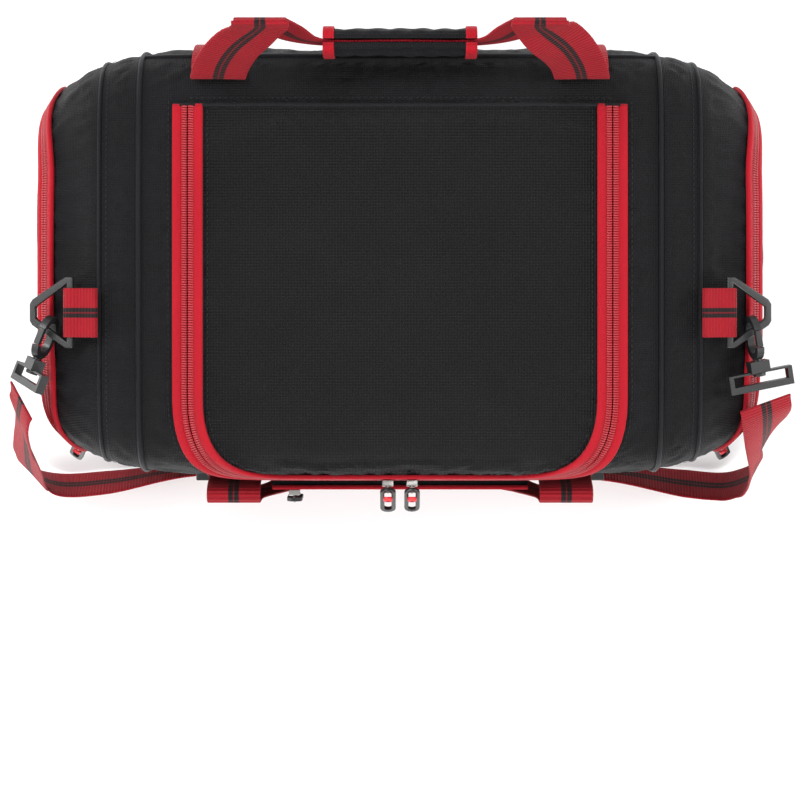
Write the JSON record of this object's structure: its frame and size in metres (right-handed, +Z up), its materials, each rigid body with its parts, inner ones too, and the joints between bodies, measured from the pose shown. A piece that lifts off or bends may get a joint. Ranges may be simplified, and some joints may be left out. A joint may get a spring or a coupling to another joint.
{
  "type": "drop-bottom sports duffel bag",
  "caption": "Soft duffel with a zipped U lid over the main compartment, a hinged shoe tray under it, zipped end pockets, webbing carry handles and a clip-on shoulder strap.",
  "frame": {"origin": "centre of the bag's footprint, on the floor under the shoe tray", "axes": "+X towards the bag's right end, +Y towards its back, where the shoe tray is hinged, +Z up"},
  "size_m": [0.5978, 0.3538, 0.4109],
  "materials": {
    "fabric": "black woven polyester, matt",
    "end_fabric": "black nylon, soft sheen",
    "webbing": "red webbing with a black centre stripe",
    "zip_tape": "red zip tape with a dark coil",
    "stiffener": "flat board under lining cloth",
    "plastic": "black moulded plastic",
    "slider": "dark nickel plate",
    "pull": "black moulded loop"
  },
  "bodies": {
    "base": {"base_tray": "fabric", "base_board": "stiffener", "base_zip_tape": "zip_tape", "lower_strap_left": "webbing", "lower_strap_right": "webbing", "shoulder_strap": "webbing"},
    "upper": {"main_shell": "fabric", "divider_floor": "stiffener", "shell_zip_tape": "zip_tape", "body_zip_tape": "zip_tape", "end_zip_left": "zip_tape", "end_zip_right": "zip_tape", "end_pocket_liner_left": "end_fabric", "end_pocket_liner_right": "end_fabric", "front_strap_left": "webbing", "front_strap_right": "webbing", "buckle_socket_left": "plastic", "buckle_socket_right": "plastic", "rear_strap_left": "webbing", "rear_strap_right": "webbing", "ring_tab_left": "webbing", "ring_tab_right": "webbing", "hook_bar_left": "plastic", "hook_bar_right": "plastic", "front_pocket": "fabric", "front_pocket_zip": "zip_tape"},
    "lid": {"lid": "fabric", "lid_zip_tape": "zip_tape"},
    "lid_left_slider": {"lid_left_slider": "slider"},
    "lid_left_pull": {"lid_left_pull": "pull"},
    "shoe_left_slider": {"shoe_left_slider": "slider"},
    "shoe_left_pull": {"shoe_left_pull": "pull"},
    "end_left_flap": {"end_flap_left": "end_fabric"},
    "end_left_slider": {"end_left_slider": "slider"},
    "end_left_pull": {"end_left_pull": "pull"},
    "lid_right_slider": {"lid_right_slider": "slider"},
    "lid_right_pull": {"lid_right_pull": "pull"},
    "shoe_right_slider": {"shoe_right_slider": "slider"},
    "shoe_right_pull": {"shoe_right_pull": "pull"},
    "end_right_flap": {"end_flap_right": "end_fabric"},
    "end_right_slider": {"end_right_slider": "slider"},
    "end_right_pull": {"end_right_pull": "pull"},
    "pocket_slider": {"pocket_slider": "slider"},
    "pocket_pull": {"pocket_pull": "pull"},
    "buckle_left": {"buckle_plug_left": "plastic"},
    "ring_left": {"ring_left": "plastic"},
    "hook_left": {"snap_hook_left": "plastic"},
    "gate_left": {"snap_gate_left": "plastic"},
    "buckle_right": {"buckle_plug_right": "plastic"},
    "ring_right": {"ring_right": "plastic"},
    "hook_right": {"snap_hook_right": "plastic"},
    "gate_right": {"snap_gate_right": "plastic"},
    "front_handle": {"front_handle": "webbing"},
    "rear_handle": {"rear_leg_left": "webbing", "rear_leg_right": "webbing"},
    "rear_grip": {"rear_bight": "webbing", "grip_pad": "end_fabric"},
    "grip_flap": {"grip_flap": "end_fabric"}
  },
  "joints": [
    {"name": "body_tilt", "type": "hinge", "parent": "base", "child": "upper", "pos_m": [0, 0.153, 0.11], "axis": [-1, 0, 0], "range_deg": [0, 65], "deforming": ["shoulder_strap"]},
    {"name": "lid_hinge", "type": "hinge", "parent": "upper", "child": "lid", "pos_m": [0, 0.106, 0.334], "axis": [1, 0, 0], "range_deg": [-85, 0]},
    {"name": "lid_left_slider_travel", "type": "slide", "parent": "lid", "child": "lid_left_slider", "axis": [-1, 0, 0], "range_m": [0, 0.06]},
    {"name": "lid_left_pull_swing", "type": "hinge", "parent": "lid_left_slider", "child": "lid_left_pull", "pos_m": [-0.0085, -0.1598, 0.2945], "axis": [-1, 0, 0], "range_deg": [-20, 80]},
    {"name": "shoe_left_slider_travel", "type": "slide", "parent": "base", "child": "shoe_left_slider", "axis": [-1, 0, 0], "range_m": [0, 0.03]},
    {"name": "shoe_left_pull_swing", "type": "hinge", "parent": "shoe_left_slider", "child": "shoe_left_pull", "pos_m": [-0.011, -0.1628, 0.1142], "axis": [-1, 0, 0], "range_deg": [0, 110]},
    {"name": "end_left_flap_hinge", "type": "hinge", "parent": "upper", "child": "end_left_flap", "pos_m": [-0.2675, 0, 0.126], "axis": [0, -1, 0], "range_deg": [0, 70]},
    {"name": "end_left_slider_travel", "type": "slide", "parent": "end_left_flap", "child": "end_left_slider", "axis": [0, 0, 1], "range_m": [0, 0.07]},
    {"name": "end_left_pull_swing", "type": "hinge", "parent": "end_left_slider", "child": "end_left_pull", "pos_m": [-0.2413, -0.1381, 0.1542], "axis": [-0.8218, 0.5698, 0], "range_deg": [-20, 75]},
    {"name": "lid_right_slider_travel", "type": "slide", "parent": "lid", "child": "lid_right_slider", "axis": [1, 0, 0], "range_m": [0, 0.06]},
    {"name": "lid_right_pull_swing", "type": "hinge", "parent": "lid_right_slider", "child": "lid_right_pull", "pos_m": [0.0085, -0.1598, 0.2945], "axis": [-1, 0, 0], "range_deg": [-20, 80]},
    {"name": "shoe_right_slider_travel", "type": "slide", "parent": "base", "child": "shoe_right_slider", "axis": [1, 0, 0], "range_m": [0, 0.03]},
    {"name": "shoe_right_pull_swing", "type": "hinge", "parent": "shoe_right_slider", "child": "shoe_right_pull", "pos_m": [0.011, -0.1628, 0.1142], "axis": [-1, 0, 0], "range_deg": [0, 110]},
    {"name": "end_right_flap_hinge", "type": "hinge", "parent": "upper", "child": "end_right_flap", "pos_m": [0.2675, 0, 0.126], "axis": [0, 1, 0], "range_deg": [0, 70]},
    {"name": "end_right_slider_travel", "type": "slide", "parent": "end_right_flap", "child": "end_right_slider", "axis": [0, 0, 1], "range_m": [0, 0.07]},
    {"name": "end_right_pull_swing", "type": "hinge", "parent": "end_right_slider", "child": "end_right_pull", "pos_m": [0.2413, -0.1381, 0.1542], "axis": [-0.8218, -0.5698, 0], "range_deg": [-20, 75]},
    {"name": "pocket_slider_travel", "type": "slide", "parent": "upper", "child": "pocket_slider", "axis": [1, 0, 0], "range_m": [0, 0.15]},
    {"name": "pocket_pull_swing", "type": "hinge", "parent": "pocket_slider", "child": "pocket_pull", "pos_m": [-0.076, -0.1709, 0.2462], "axis": [-1, 0, 0], "range_deg": [0, 110]},
    {"name": "buckle_left_release", "type": "slide", "parent": "base", "child": "buckle_left", "axis": [0, 0, -1], "range_m": [0, 0.028]},
    {"name": "ring_left_swing", "type": "hinge", "parent": "upper", "child": "ring_left", "pos_m": [-0.228, -0.035, 0.3199], "axis": [0, 1, 0], "range_deg": [-3, 3]},
    {"name": "buckle_right_release", "type": "slide", "parent": "base", "child": "buckle_right", "axis": [0, 0, -1], "range_m": [0, 0.028]},
    {"name": "ring_right_swing", "type": "hinge", "parent": "upper", "child": "ring_right", "pos_m": [0.228, -0.035, 0.3199], "axis": [0, 1, 0], "range_deg": [-3, 3]},
    {"name": "hook_left_swivel", "type": "hinge", "parent": "upper", "child": "hook_left", "pos_m": [-0.2459, -0.0522, 0.3152], "axis": [-0.3613, -0.9325, 0], "range_deg": [-8, 8]},
    {"name": "gate_left_press", "type": "hinge", "parent": "hook_left", "child": "gate_left", "pos_m": [-0.2503, -0.05607, 0.324], "axis": [-0.8913, 0.3451, -0.2941], "range_deg": [0, 12], "stiffness_Nm_per_rad": 0.02},
    {"name": "hook_right_swivel", "type": "hinge", "parent": "upper", "child": "hook_right", "pos_m": [0.2453, -0.0524, 0.316], "axis": [0.1607, -0.9837, -0.0803], "range_deg": [-8, 8]},
    {"name": "gate_right_press", "type": "hinge", "parent": "hook_right", "child": "gate_right", "pos_m": [0.24805, -0.05794, 0.32457], "axis": [-0.9649, -0.174, 0.197], "range_deg": [0, 12], "stiffness_Nm_per_rad": 0.02},
    {"name": "front_handle_swing", "type": "hinge", "parent": "upper", "child": "front_handle", "pos_m": [0, -0.1705, 0.2695], "axis": [-1, 0, 0], "range_deg": [0, 175]},
    {"name": "rear_handle_swing", "type": "hinge", "parent": "upper", "child": "rear_handle", "pos_m": [0, 0.126, 0.331], "axis": [1, 0, 0], "range_deg": [0, 45]},
    {"name": "rear_grip_fold", "type": "hinge", "parent": "rear_handle", "child": "rear_grip", "pos_m": [0, 0.158, 0.412], "axis": [1, 0, 0], "range_deg": [0, 118.35]},
    {"name": "grip_wrap_open", "type": "hinge", "parent": "rear_grip", "child": "grip_flap", "pos_m": [0, 0.15, 0.3196], "axis": [-1, 0, 0], "range_deg": [0, 80]}
  ],
  "couplings": [
    {"joint": "rear_grip_fold", "follows": "rear_handle_swing", "ratio": 2.63}
  ]
}
